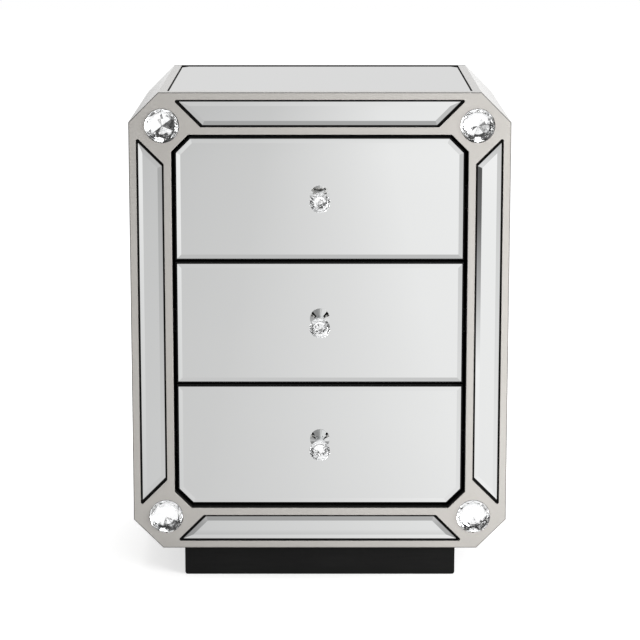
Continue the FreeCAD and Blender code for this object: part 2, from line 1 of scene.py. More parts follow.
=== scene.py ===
"""The mirrored nightstand's looks: bevelled mirrors, champagne lacquer, cut crystal and black insides."""

import math

import bmesh
import bpy
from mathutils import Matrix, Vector


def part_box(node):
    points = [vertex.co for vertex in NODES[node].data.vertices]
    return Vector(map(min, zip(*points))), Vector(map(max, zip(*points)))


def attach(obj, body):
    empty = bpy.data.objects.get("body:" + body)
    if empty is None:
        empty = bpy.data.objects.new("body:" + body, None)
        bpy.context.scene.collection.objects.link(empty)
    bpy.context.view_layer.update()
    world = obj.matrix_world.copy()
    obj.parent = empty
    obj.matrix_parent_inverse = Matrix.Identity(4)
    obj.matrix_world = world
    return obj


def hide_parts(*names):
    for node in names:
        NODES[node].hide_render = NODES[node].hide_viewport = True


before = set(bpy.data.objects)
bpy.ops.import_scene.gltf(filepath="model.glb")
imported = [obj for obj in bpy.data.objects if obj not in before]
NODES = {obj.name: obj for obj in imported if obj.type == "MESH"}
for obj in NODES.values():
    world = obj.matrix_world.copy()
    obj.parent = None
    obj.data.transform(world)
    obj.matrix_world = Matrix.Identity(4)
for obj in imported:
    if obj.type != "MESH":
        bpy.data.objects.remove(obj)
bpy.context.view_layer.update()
DRAWERS = ("lower", "middle", "upper")

# Places read from the frame, in metres
FRAME_LOW, FRAME_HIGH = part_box("front_frame")
FRONT_Y = FRAME_LOW.y
BODY_HALF_WIDTH = FRAME_HIGH.x
BODY_MIDDLE_HEIGHT = (FRAME_LOW.z + FRAME_HIGH.z) / 2
BODY_HALF_HEIGHT = (FRAME_HIGH.z - FRAME_LOW.z) / 2

# Camera, as the photograph sees the object: metres, degrees, and millimetres for the lens
CAMERA_PLACE = (0.0009, -3.8610, 1.1151)
CAMERA_PITCH = 11.039
CAMERA_YAW = 0.010
CAMERA_LENS = 141.67
SENSOR_WIDTH = 36.0

# Corner gems: lengths in metres
GEM_FACETS = 24
GEM_RADIUS = 0.0250
GEM_TABLE_RADIUS = 0.0118
GEM_CROWN_RADIUS = 0.0200
GEM_CROWN_RISE = 0.0054
GEM_GIRDLE_RISE = 0.0008
GEM_PAVILION_RADIUS = 0.0150
GEM_PAVILION_DEPTH = 0.0014
GEM_POINT_RADIUS = 0.0010
GEM_POINT_DEPTH = 0.0024

# Knob crystals: lengths in metres, and the crown's place as a share of the way from girdle to table
KNOB_FACETS = 24
KNOB_FOOT_RADIUS = 0.005
KNOB_CONE_LENGTH = 0.0095
KNOB_GIRDLE = 0.001
KNOB_CROWN_RADIUS = 0.0122
KNOB_CROWN_SHARE = 0.50
KNOB_TABLE_RADIUS = 0.0050

# Knob ferrules, in metres
FERRULE_HOLE_RADIUS = 0.0025
FERRULE_STEM_RADIUS = 0.0045
FERRULE_RIM_ROUND = 0.0012
FERRULE_RIM_HEIGHT = 0.0008
FERRULE_FOOT_COVE = 0.0023
FERRULE_FOOT_COVE_HEIGHT = 0.0046
FERRULE_CUP_COVE = 0.0033
FERRULE_CUP_COVE_DROP = 0.0068
FERRULE_LIP_RADIUS = 0.0064
FERRULE_LIP_ROUND = 0.0006
FERRULE_LIP_DROP = 0.0008
FERRULE_SEAT_RADIUS = 0.0052
FERRULE_SEAT_GAP = 0.0002

# Turned pieces: flats round the axis and on an arc, and the least angle of a sharp edge in degrees
TURNED_STEPS = 48
ARC_STEPS = 6
SHARP_ANGLE = 35

# Screws: lengths in metres, the turn from one screw to the next in radians
BACK_SCREW_HEAD_RADIUS = 0.0035
BACK_SCREW_SHANK_RADIUS = 0.00175
BACK_SCREW_HEAD_RISE = 0.00175
KNOB_SCREW_HEAD_RADIUS = 0.0045
KNOB_SCREW_CROWN_RADIUS = 0.0036
KNOB_SCREW_SHANK_RADIUS = 0.0020
KNOB_SCREW_HEAD_RISE = 0.0025
SCREW_HEAD_SIDES = 24
SCREW_SHANK_SIDES = 16
CROSS_LENGTH = 0.0042
CROSS_WIDTH = 0.0009
CROSS_DEPTH = 0.0011
SCREW_SPIN_STEP = 2.4
SCREW_SPACING = 0.012

# Turns that lay a piece's own upright along the way it faces, in radians
FORWARD_TURN = (math.radians(90), 0.0, 0.0)
BACKWARD_TURN = (math.radians(-90), 0.0, 0.0)

# The cut at the body's four long edges, in metres
BODY_CORNER_CUT = 0.044

# Lacquer: the width in metres of the painted shade along its rounded outer edge, how strong that shade is,
# and the depth at which recesses turn black
EDGE_WIDTH = 0.0013
EDGE_SHADE_STRENGTH = 0.85
RECESS_START = 0.0007

# Mirrors: the share of its tilt by which a bevel turns a ray back, and how squarely a silvered face looks
WEDGE_TURN = 0.5
SILVERED_FACING = 0.5

# Foil: how squarely a stone's face looks back to have it
FOIL_FACING = 0.2

# Tones of the finishes, as red, green and blue
CHAMPAGNE_TONES = ((0.452, 0.430, 0.402), (0.526, 0.509, 0.481))
# The painted shade on the lacquer's rounded outer edge
EDGE_SHADE_TONE = (0.10, 0.095, 0.088)
RECESS_TONES = ((0.006, 0.006, 0.006), (0.014, 0.014, 0.013))
BLACK_TONES = ((0.0075, 0.0075, 0.0075), (0.016, 0.016, 0.0155))
SILVER_TONES = ((0.797, 0.803, 0.800), (0.808, 0.814, 0.811))
# Ground glass edges: dark glass deepened by a painted shade for the gaps round the mirrors
GLASS_EDGE_SHADE_TONES = ((0.008, 0.010, 0.009), (0.020, 0.025, 0.023))
CRYSTAL_TONES = ((0.985, 0.99, 0.99), (1.0, 1.0, 1.0))
FOIL_TONES = ((0.88, 0.885, 0.89), (0.95, 0.95, 0.95))
CHROME_TONES = ((0.70, 0.71, 0.72), (0.80, 0.81, 0.82))
BRIGHT_ZINC_TONES = ((0.50, 0.51, 0.53), (0.66, 0.67, 0.68))
BLACK_ZINC_TONES = ((0.012, 0.012, 0.013), (0.035, 0.035, 0.036))
WOOD_TONES = ((0.026, 0.019, 0.015), (0.060, 0.043, 0.033))
WOOD_PORE_TONE = (0.014, 0.011, 0.009)
FIBRE_TONES = ((0.010, 0.010, 0.010), (0.026, 0.025, 0.024))
WHITE = (1.0, 1.0, 1.0, 1.0)

# Floor: its size in metres, its tone, and levels as (place in metres, level) stops
FLOOR_HALF = 12.0
FLOOR_DROP = 0.0003
FLOOR_TONE = 0.80
FLOOR_FADE = ((0.0, 0.50), (0.45, 0.80), (1.0, 1.0))
FLOOR_SWEEP = (
    (-1.4, 0.48), (-0.8, 0.58), (-0.5, 0.68), (-0.35, 0.715), (-0.2, 0.745), (0.06, 0.885),
    (0.25, 1.00), (0.45, 1.03), (0.62, 1.08), (1.4, 0.95),
)
# Painted shadow of the cabinet on the floor that mirrors see, by distance beside or ahead of the body
FLOOR_CABINET_SHADOW = (
    (0.12, 0.40), (0.222, 0.60), (0.25, 0.95), (0.5, 0.98), (1.0, 1.0), (5.0, 1.0), (10.0, 0.85),
)
FLOOR_DARK = ((0.62, 0.0), (0.85, 0.50), (1.15, 0.82), (1.4, 0.88))
FLOOR_DARK_AHEAD = ((0.3, 0.0), (0.9, 1.0))

# Room: levels as stops along one part of a direction
ROOM_FILL = 0.178
FRONT_WALL = ((0.0, 0.70), (0.08, 0.46), (0.2, 0.60), (0.3, 1.03))
BACK_WALL = ((0.0, 1.02), (0.03, 1.0), (0.07, 0.76), (0.212, 0.76), (0.235, 1.05))
FRONT_TO_BACK = ((-0.3, 0.0), (0.3, 1.0))
CEILING_LEVELS = ((-0.2, 0.40), (0.35, 1.1))
CEILING_START = ((0.27, 0.0), (0.45, 1.0))

# What the cut stones break up: a fixed noise of lamps and stands, brighter to one side
STONE_MIDDLE = (0.0, FRONT_Y, BODY_MIDDLE_HEIGHT)
STONE_BOUNCES = 24
KIT_SCALE = 9.0
KIT_SEED = 3.9
KIT_LEAN = (0.28, 0.0, -0.46)
KIT_LEVELS = ((0.38, 0.03), (0.46, 0.19), (0.51, 0.70), (0.56, 1.15))

# Lamps: place, aim and side in metres, power in watts
LAMPS = {
    "key_box": ((1.30, -1.25, 0.50), (0.0, -0.2, 0.4), 1.1, 38),
    "fill_box": ((-1.9, -2.2, 1.6), (0.0, 0.0, 0.4), 1.6, 6),
    "top_box": ((0.2, 0.2, 2.6), (0.0, 0.0, 0.5), 2.0, 36),
}


# Small helpers for node trees

def feed(tree, socket, value):
    """Links an output to a socket, or sets a plain value on it."""
    if isinstance(value, bpy.types.NodeSocket):
        tree.links.new(value, socket)
    else:
        socket.default_value = value


def add(tree, kind, sockets=None, **settings):
    """A node of the given kind with its settings and its named sockets filled."""
    made = tree.nodes.new(kind)
    for name, value in settings.items():
        setattr(made, name, value)
    for name, value in (sockets or {}).items():
        feed(tree, made.inputs[name], value)
    return made


def calc(tree, operation, *terms):
    """The result of one sum on sockets or numbers."""
    made = tree.nodes.new("ShaderNodeMath")
    made.operation = operation
    for socket, term in zip(made.inputs, terms):
        feed(tree, socket, term)
    return made.outputs[0]


def object_place(tree):
    """Where a point lies on its piece, in the object's own frame."""
    return add(tree, "ShaderNodeTexCoord").outputs["Object"]


def mottle(tree, scale, low, high, stretch=(1, 1, 1), detail=3.0, spread=0.2):
    """Soft noise from low to high; stretch draws it out along the axes with the smaller numbers."""
    mapped = add(tree, "ShaderNodeMapping", {"Vector": object_place(tree), "Scale": stretch})
    sockets = {"Vector": mapped.outputs[0], "Scale": scale, "Detail": detail}
    noise = add(tree, "ShaderNodeTexNoise", sockets)
    limits = {"From Min": 0.5 - spread, "From Max": 0.5 + spread, "To Min": low, "To Max": high}
    return add(tree, "ShaderNodeMapRange", {"Value": noise.outputs[0], **limits}).outputs[0]


def opaque(tone):
    """A tone as an opaque colour; a socket stays as it is."""
    if isinstance(tone, bpy.types.NodeSocket):
        return tone
    return (*tone, 1.0)


def tint(tree, share, first, second):
    """A colour between two others; share 0 is the first."""
    made = add(tree, "ShaderNodeMix", data_type="RGBA")
    feed(tree, made.inputs[0], share)
    feed(tree, made.inputs[6], opaque(first))
    feed(tree, made.inputs[7], opaque(second))
    return made.outputs[2]


def new_finish(name, **constants):
    """A material, its node tree and its surface shader with the constant sockets set."""
    finish = bpy.data.materials.new(name)
    finish.use_nodes = True
    shader = finish.node_tree.nodes["Principled BSDF"]
    for socket, value in constants.items():
        shader.inputs[socket.replace("_", " ")].default_value = value
    return finish, finish.node_tree, shader


def roughen(tree, shader, height, strength, distance):
    """Raises the surface by a height pattern."""
    bump = add(tree, "ShaderNodeBump", {"Height": height, "Strength": strength, "Distance": distance})
    feed(tree, shader.inputs["Normal"], bump.outputs[0])
    return bump


def facing(tree, axis):
    """How squarely a face looks along one axis, from 0 to 1."""
    normal = add(tree, "ShaderNodeNewGeometry").outputs["Normal"]
    parts = add(tree, "ShaderNodeSeparateXYZ", {"Vector": normal})
    return calc(tree, "ABSOLUTE", parts.outputs[axis])


def level_along(tree, place, stops):
    """A level that runs through (place, level) stops."""
    low, high = stops[0][0], stops[-1][0]
    limits = {"From Min": low, "From Max": high}
    share = add(tree, "ShaderNodeMapRange", {"Value": place, **limits}).outputs[0]
    ramp = add(tree, "ShaderNodeValToRGB", {"Fac": share})
    marks = ramp.color_ramp.elements
    for index, (stop, level) in enumerate(stops):
        at = (stop - low) / (high - low)
        mark = marks[index] if index < 2 else marks.new(at)
        mark.position = at
        mark.color = opaque((level, level, level))
    return ramp.outputs["Color"]


# Finishes

def depth_in_body(tree):
    """How far a point lies inside the body's eight flanks, and how far behind its front plane."""
    parts = add(tree, "ShaderNodeSeparateXYZ", {"Vector": object_place(tree)})
    across = calc(tree, "ABSOLUTE", parts.outputs["X"])
    height = calc(tree, "SUBTRACT", parts.outputs["Z"], BODY_MIDDLE_HEIGHT)
    height = calc(tree, "ABSOLUTE", height)
    to_side = calc(tree, "SUBTRACT", BODY_HALF_WIDTH, across)
    to_top = calc(tree, "SUBTRACT", BODY_HALF_HEIGHT, height)
    slant = BODY_HALF_WIDTH + BODY_HALF_HEIGHT - BODY_CORNER_CUT
    to_corner = calc(tree, "SUBTRACT", slant, calc(tree, "ADD", across, height))
    to_corner = calc(tree, "MULTIPLY", to_corner, math.sqrt(0.5))
    to_front = calc(tree, "SUBTRACT", parts.outputs["Y"], FRONT_Y)
    flank = calc(tree, "MINIMUM", calc(tree, "MINIMUM", to_side, to_top), to_corner)
    return flank, to_front


def champagne_lacquer():
    """Champagne-silver lacquer with a fine flake, a painted shade along the rounded outer edge, and black
    in every recess.
    """
    finish, tree, shader = new_finish("champagne_lacquer", IOR=1.48, Coat_Roughness=0.12)
    flake = mottle(tree, 1300, 0.0, 1.0, detail=1.0, spread=0.3)
    cloud = mottle(tree, 7, 0.975, 1.025)
    shaded = add(tree, "ShaderNodeVectorMath", operation="SCALE")
    feed(tree, shaded.inputs[0], tint(tree, flake, *CHAMPAGNE_TONES))
    feed(tree, shaded.inputs["Scale"], cloud)
    flank, to_front = depth_in_body(tree)
    # A thin band on the outer edge takes a painted shade, standing in for the shade on its rounding
    on_edge = calc(tree, "LESS_THAN", calc(tree, "MAXIMUM", flank, to_front), EDGE_WIDTH)
    edge_shade = calc(tree, "MULTIPLY", on_edge, EDGE_SHADE_STRENGTH)
    wear_and_edge_shade = tint(tree, edge_shade, shaded.outputs[0], EDGE_SHADE_TONE)
    inside = calc(tree, "GREATER_THAN", calc(tree, "MINIMUM", flank, to_front), RECESS_START)
    outside = calc(tree, "SUBTRACT", 1.0, inside)
    black = tint(tree, mottle(tree, 160, 0, 1), *RECESS_TONES)
    gloss = mottle(tree, 240, 0.36, 0.48)
    feed(tree, shader.inputs["Base Color"], tint(tree, inside, wear_and_edge_shade, black))
    feed(tree, shader.inputs["Coat Weight"], outside)
    feed(tree, shader.inputs["Metallic"], calc(tree, "MULTIPLY", outside, 0.2))
    feed(tree, shader.inputs["Roughness"], calc(tree, "MULTIPLY_ADD", inside, 0.45, gloss))
    roughen(tree, shader, mottle(tree, 900, 0, 1, detail=1.0), 0.02, 0.0002)
    return finish


def black_lacquer():
    """Satin black lacquer, a little grain of the board showing through, worn faintly grey in patches."""
    finish, tree, shader = new_finish("black_lacquer", IOR=1.27)
    grain = mottle(tree, 60, 0.0, 1.0, stretch=(0.3, 1, 4), detail=5.0)
    patches = mottle(tree, 9, 0.0, 0.5)
    wear_and_edge_shade = calc(tree, "MULTIPLY", grain, patches)
    feed(tree, shader.inputs["Base Color"], tint(tree, wear_and_edge_shade, *BLACK_TONES))
    feed(tree, shader.inputs["Roughness"], mottle(tree, 120, 0.40, 0.54))
    roughen(tree, shader, grain, 0.10, 0.0003)
    return finish


def prism_normal(tree, axis):
    """The normal that a bevel seems to have: its glass wedge turns rays towards its thick side."""
    normal = add(tree, "ShaderNodeNewGeometry").outputs["Normal"]
    weights = [1.0 if name == axis else -WEDGE_TURN for name in "XYZ"]
    turned_back = add(tree, "ShaderNodeVectorMath", {0: normal, 1: weights}, operation="MULTIPLY")
    unit = add(tree, "ShaderNodeVectorMath", {0: turned_back.outputs[0]}, operation="NORMALIZE")
    return unit.outputs[0]


def mirror_glass(name, axis):
    """Glass silvered on its flat back, which looks along one axis; its ground edges are dark glass,
    deepened nearly to black as a painted shade in the gaps round each mirror.
    """
    finish, tree, shader = new_finish(name, IOR=1.5)
    edge = calc(tree, "LESS_THAN", facing(tree, axis), SILVERED_FACING)
    silver = tint(tree, mottle(tree, 5, 0, 1), *SILVER_TONES)
    # The glass edges take a painted shade, so the gaps round each mirror read black
    rim = tint(tree, mottle(tree, 300, 0, 1), *GLASS_EDGE_SHADE_TONES)
    polish = mottle(tree, 40, 0.012, 0.022)
    feed(tree, shader.inputs["Base Color"], tint(tree, edge, silver, rim))
    feed(tree, shader.inputs["Metallic"], calc(tree, "SUBTRACT", 1.0, edge))
    feed(tree, shader.inputs["Roughness"], calc(tree, "MULTIPLY_ADD", edge, 0.3, polish))
    ripple = roughen(tree, shader, mottle(tree, 6, 0, 1, detail=0.0), 0.03, 0.0002)
    feed(tree, ripple.inputs["Normal"], prism_normal(tree, axis))
    return finish


def cut_crystal():
    """Clear lead crystal with a polish that is very slightly uneven."""
    finish, tree, shader = new_finish("clear_crystal", IOR=1.56, Transmission_Weight=1.0)
    feed(tree, shader.inputs["Base Color"], tint(tree, mottle(tree, 90, 0, 1), *CRYSTAL_TONES))
    feed(tree, shader.inputs["Roughness"], mottle(tree, 200, 0.0, 0.012))
    return finish


def stone_foil(name, smooth, rough):
    """Silver foil behind the cut stones, faintly creased, with a roughness between two values."""
    finish, tree, shader = new_finish(name, Metallic=1.0)
    feed(tree, shader.inputs["Base Color"], tint(tree, mottle(tree, 150, 0, 1), *FOIL_TONES))
    feed(tree, shader.inputs["Roughness"], mottle(tree, 120, smooth, rough))
    roughen(tree, shader, mottle(tree, 260, 0, 1), 0.05, 0.0002)
    return finish


def polished_plating():
    """Bright chrome on the knob ferrules, with faint turning marks round the axis."""
    finish, tree, shader = new_finish("polished_plating", Metallic=1.0)
    rings = mottle(tree, 900, 0, 1, stretch=(0.02, 1, 0.02), detail=2.0)
    feed(tree, shader.inputs["Base Color"], tint(tree, rings, *CHROME_TONES))
    feed(tree, shader.inputs["Roughness"], mottle(tree, 300, 0.06, 0.14))
    roughen(tree, shader, rings, 0.03, 0.0001)
    return finish


def zinc_plating(name, tones):
    """Zinc-plated steel between two tones: rolled streaks and dull patches."""
    finish, tree, shader = new_finish(name, Metallic=1.0)
    streaks = mottle(tree, 500, 0, 1, stretch=(1, 0.03, 1), detail=4.0)
    feed(tree, shader.inputs["Base Color"], tint(tree, streaks, *tones))
    feed(tree, shader.inputs["Roughness"], mottle(tree, 45, 0.24, 0.40))
    roughen(tree, shader, streaks, 0.06, 0.0002)
    return finish


def stained_wood(name, along):
    """Dark stained drawer wood; the grain runs along one axis (0 across, 1 deep)."""
    finish, tree, shader = new_finish(name, IOR=1.45)
    stretch = [1.0, 1.0, 1.0]
    stretch[along] = 0.06
    pore_stretch = [1.0, 1.0, 1.0]
    pore_stretch[along] = 0.03
    figure = mottle(tree, 90, 0, 1, stretch=stretch, detail=6.0)
    pores = mottle(tree, 700, 0, 1, stretch=pore_stretch, detail=2.0)
    body = tint(tree, figure, *WOOD_TONES)
    depth = calc(tree, "MULTIPLY", pores, 0.5)
    feed(tree, shader.inputs["Base Color"], tint(tree, depth, body, WOOD_PORE_TONE))
    feed(tree, shader.inputs["Roughness"], mottle(tree, 60, 0.42, 0.60, stretch=stretch))
    roughen(tree, shader, pores, 0.18, 0.0003)
    return finish


def fibre_board():
    """The painted back board: dull black over a fine pressed-fibre surface."""
    finish, tree, shader = new_finish("fibre_board", IOR=1.18)
    fibres = mottle(tree, 420, 0, 1, detail=6.0)
    feed(tree, shader.inputs["Base Color"], tint(tree, fibres, *FIBRE_TONES))
    feed(tree, shader.inputs["Roughness"], mottle(tree, 30, 0.58, 0.72))
    roughen(tree, shader, fibres, 0.35, 0.0004)
    return finish


# Geometry Nodes

def new_tree(name):
    """An empty tree that takes places and gives finished pieces."""
    tree = bpy.data.node_groups.new(name, "GeometryNodeTree")
    tree.interface.new_socket("Places", in_out="INPUT", socket_type="NodeSocketGeometry")
    tree.interface.new_socket("Pieces", in_out="OUTPUT", socket_type="NodeSocketGeometry")
    return tree, tree.nodes.new("NodeGroupInput")


def size_input(tree, source, name, kind="NodeSocketFloat"):
    """A named size on the tree, and the socket that gives it inside."""
    tree.interface.new_socket(name, in_out="INPUT", socket_type=kind)
    return source.outputs[name]


def lifted(tree, shape, rise, turn=0.0):
    """A shape raised along its own upright and turned about it."""
    lift = add(tree, "ShaderNodeCombineXYZ", {"Z": rise})
    sockets = {"Geometry": shape, "Translation": lift.outputs[0], "Rotation": (0.0, 0.0, turn)}
    return add(tree, "GeometryNodeTransform", sockets).outputs[0]


def flat_shaded(tree, shape):
    """A shape whose faces all stay flat."""
    return add(tree, "GeometryNodeSetShadeSmooth", {"Geometry": shape, "Shade Smooth": False}).outputs[0]


def set_on_places(tree, source, shape, materials):
    """Closes a tree: the shape on every place, each spun a step further, realized, with its materials."""
    turn = size_input(tree, source, "Turn", "NodeSocketVector")
    step = size_input(tree, source, "Spin step")
    points = add(tree, "GeometryNodeMeshToPoints", {"Mesh": source.outputs["Places"]})
    sockets = {"Points": points.outputs[0], "Instance": shape, "Rotation": turn}
    placed = add(tree, "GeometryNodeInstanceOnPoints", sockets)
    count = tree.nodes.new("GeometryNodeInputIndex")
    spin = add(tree, "ShaderNodeCombineXYZ", {"Z": calc(tree, "MULTIPLY", count.outputs[0], step)})
    sockets = {"Instances": placed.outputs[0], "Rotation": spin.outputs[0]}
    spun = add(tree, "GeometryNodeRotateInstances", sockets)
    flow = add(tree, "GeometryNodeRealizeInstances", {"Geometry": spun.outputs[0]}).outputs[0]
    flow = materials(tree, flow)
    sink = tree.nodes.new("NodeGroupOutput")
    tree.links.new(flow, sink.inputs["Pieces"])
    return tree


def one_material(finish):
    """Gives every face the same finish."""
    def give(tree, flow):
        return add(tree, "GeometryNodeSetMaterial", {"Geometry": flow, "Material": finish}).outputs[0]
    return give


def crystal_with_foil(crystal, foil):
    """Crystal all over, and foil on the faces that look back into the frame."""
    def give(tree, flow):
        flow = add(tree, "GeometryNodeSetMaterial", {"Geometry": flow, "Material": crystal}).outputs[0]
        normal = tree.nodes.new("GeometryNodeInputNormal")
        parts = add(tree, "ShaderNodeSeparateXYZ", {"Vector": normal.outputs[0]})
        back = calc(tree, "GREATER_THAN", parts.outputs["Y"], FOIL_FACING)
        sockets = {"Geometry": flow, "Selection": back, "Material": foil}
        return add(tree, "GeometryNodeSetMaterial", sockets).outputs[0]
    return give


def cut_stone_tree(name, rings, materials):
    """A faceted stone: a hull over rings of corners, each a label, a count and a turn.

    Each ring's radius and rise are inputs of the tree.
    """
    tree, source = new_tree(name)
    joined = tree.nodes.new("GeometryNodeJoinGeometry")
    for label, corners, turn in rings:
        radius = size_input(tree, source, f"{label} radius")
        rise = size_input(tree, source, f"{label} rise")
        ring = add(tree, "GeometryNodeMeshCircle", {"Vertices": corners, "Radius": radius})
        tree.links.new(lifted(tree, ring.outputs[0], rise, turn), joined.inputs[0])
    hull = add(tree, "GeometryNodeConvexHull", {"Geometry": joined.outputs[0]})
    return set_on_places(tree, source, flat_shaded(tree, hull.outputs[0]), materials)


def cross_screw_tree(finish):
    """A screw that stands on its place: a head with a cross recess above it and a plain shank below."""
    tree, source = new_tree("cross_head_screw")
    crown = size_input(tree, source, "Crown radius")
    foot = size_input(tree, source, "Foot radius")
    rise = size_input(tree, source, "Head rise")
    shank_radius = size_input(tree, source, "Shank radius")
    shank_length = size_input(tree, source, "Shank length")
    length = size_input(tree, source, "Cross length")
    width = size_input(tree, source, "Cross width")
    depth = size_input(tree, source, "Cross depth")
    cone = {"Vertices": SCREW_HEAD_SIDES, "Side Segments": 1, "Depth": rise}
    head = add(tree, "GeometryNodeMeshCone", {**cone, "Radius Top": crown, "Radius Bottom": foot})
    cut = add(tree, "GeometryNodeMeshBoolean", operation="DIFFERENCE")
    feed(tree, cut.inputs[0], head.outputs[0])
    floor = calc(tree, "SUBTRACT", rise, depth)
    middle = calc(tree, "MULTIPLY_ADD", rise, 0.5, floor)
    for across, along in ((length, width), (width, length)):
        size = add(tree, "ShaderNodeCombineXYZ", {"X": across, "Y": along, "Z": rise})
        bar = add(tree, "GeometryNodeMeshCube", {"Size": size.outputs[0]})
        tree.links.new(lifted(tree, bar.outputs[0], middle), cut.inputs[1])
    cone = {"Vertices": SCREW_SHANK_SIDES, "Depth": shank_length}
    shank = add(tree, "GeometryNodeMeshCone",
                {**cone, "Radius Top": shank_radius, "Radius Bottom": shank_radius})
    joined = tree.nodes.new("GeometryNodeJoinGeometry")
    tree.links.new(cut.outputs[0], joined.inputs[0])
    below = calc(tree, "MULTIPLY", shank_length, -1.0)
    tree.links.new(lifted(tree, shank.outputs[0], below), joined.inputs[0])
    return set_on_places(tree, source, flat_shaded(tree, joined.outputs[0]), one_material(finish))


def pieces_at(name, places, tree, sizes, turn, spin_step=0.0):
    """Runs a tree on a list of places and keeps its result as a plain mesh object."""
    mesh = bpy.data.meshes.new(f"{name}_places")
    mesh.from_pydata([tuple(place) for place in places], [], [])
    piece = bpy.data.objects.new(name, mesh)
    bpy.context.scene.collection.objects.link(piece)
    modifier = piece.modifiers.new("pieces", "NODES")
    modifier.node_group = tree
    wanted = {**sizes, "Turn": turn, "Spin step": spin_step}
    for item in tree.interface.items_tree:
        if item.in_out == "INPUT" and item.name in wanted:
            modifier[item.identifier] = wanted[item.name]
    graph = bpy.context.evaluated_depsgraph_get()
    made = bpy.data.meshes.new_from_object(piece.evaluated_get(graph))
    piece.modifiers.clear()
    piece.data = made
    for index in reversed(range(len(made.materials))):
        if made.materials[index] is None:
            made.materials.pop(index=index)
    bpy.data.meshes.remove(mesh)
    return piece


# Turned pieces

def turned(name, profile, foot, finish):
    """A closed piece turned about the line that runs forward (-Y) from its foot.

    The profile is a list of (radius, distance forward), from its first end to its last.
    """
    shape = bmesh.new()
    rings = []
    for radius, forward in profile:
        ring = []
        for step in range(TURNED_STEPS):
            angle = 2 * math.pi * step / TURNED_STEPS
            offset = Vector((radius * math.cos(angle), -forward, radius * math.sin(angle)))
            ring.append(shape.verts.new(Vector(foot) + offset))
        rings.append(ring)
    for lower, upper in zip(rings, rings[1:]):
        for step in range(TURNED_STEPS):
            after = (step + 1) % TURNED_STEPS
            shape.faces.new((lower[step], lower[after], upper[after], upper[step]))
    shape.faces.new(rings[0])
    shape.faces.new(rings[-1])
    bmesh.ops.recalc_face_normals(shape, faces=shape.faces)
    mesh = bpy.data.meshes.new(name)
    shape.to_mesh(mesh)
    shape.free()
    mesh.materials.append(finish)
    mesh.shade_smooth()
    mesh.set_sharp_from_angle(angle=math.radians(SHARP_ANGLE))
    piece = bpy.data.objects.new(name, mesh)
    bpy.context.scene.collection.objects.link(piece)
    return piece


def rounded(centre, radius, start, end):
    """Profile points on an arc about a (radius, forward) centre, in degrees from the radial direction."""
    points = []
    for step in range(ARC_STEPS + 1):
        angle = math.radians(start + (end - start) * step / ARC_STEPS)
        points.append((centre[0] + radius * math.cos(angle), centre[1] + radius * math.sin(angle)))
    return points


def settle(piece, body, slot, *nodes):
    """Lets a piece ride on its body and stand for its CAD nodes; its slot is not used."""
    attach(piece, body)
    if nodes:
        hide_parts(*nodes)


# Finishes in use
CHAMPAGNE = champagne_lacquer()
BLACK = black_lacquer()
FRONT_MIRROR = mirror_glass("front_mirror_glass", "Y")
TOP_MIRROR = mirror_glass("top_mirror_glass", "Z")
SIDE_MIRROR = mirror_glass("side_mirror_glass", "X")
CRYSTAL = cut_crystal()
GEM_FOIL = stone_foil("gem_foil", 0.02, 0.05)
KNOB_FOIL = stone_foil("knob_foil", 0.01, 0.04)
CHROME = polished_plating()
ZINC = zinc_plating("bright_zinc", BRIGHT_ZINC_TONES)
BLACK_ZINC = zinc_plating("black_zinc", BLACK_ZINC_TONES)
WOOD_DEEP = stained_wood("stained_wood_deep", 1)
WOOD_ACROSS = stained_wood("stained_wood_across", 0)
FIBRE = fibre_board()


def paint(finish, *names):
    """Gives CAD nodes their finish."""
    for name in names:
        NODES[name].data.materials.clear()
        NODES[name].data.materials.append(finish)


def finish_cabinet():
    """Finishes the cabinet's nodes, apart from the stones and screws that are made here."""
    corners = ("top_left", "top_right", "bottom_left", "bottom_right")
    rails = [f"{place}_corner_rail" for place in corners]
    boards = [f"plinth_{place}_board" for place in ("front", "rear", "left", "right")]
    paint(CHAMPAGNE, "front_frame", "top_panel", "left_side_panel", "right_side_panel", *rails)
    paint(FRONT_MIRROR, *(f"front_mirror_{place}" for place in ("top", "left", "bottom", "right")))
    paint(TOP_MIRROR, "top_mirror")
    paint(SIDE_MIRROR, "left_side_mirror", "right_side_mirror")
    paint(FIBRE, "back_panel")
    paint(BLACK, "bottom_panel", "left_runner_panel", "right_runner_panel")
    paint(BLACK, "plinth_corner_blocks", *boards)
    paint(BLACK_ZINC, "cabinet_slide_rails")


def finish_drawer(name):
    """Finishes one drawer's nodes, apart from its knob."""
    paint(BLACK, f"{name}_drawer_front_board")
    paint(FRONT_MIRROR, f"{name}_drawer_mirror")
    paint(WOOD_DEEP, *(f"{name}_drawer_{piece}" for piece in ("left_side", "right_side", "bottom_board")))
    paint(WOOD_ACROSS, f"{name}_drawer_rear_board")
    paint(BLACK_ZINC, f"{name}_drawer_slide_rails")
    paint(ZINC, f"{name}_drawer_ball_cages")


# Stones and their ferrules

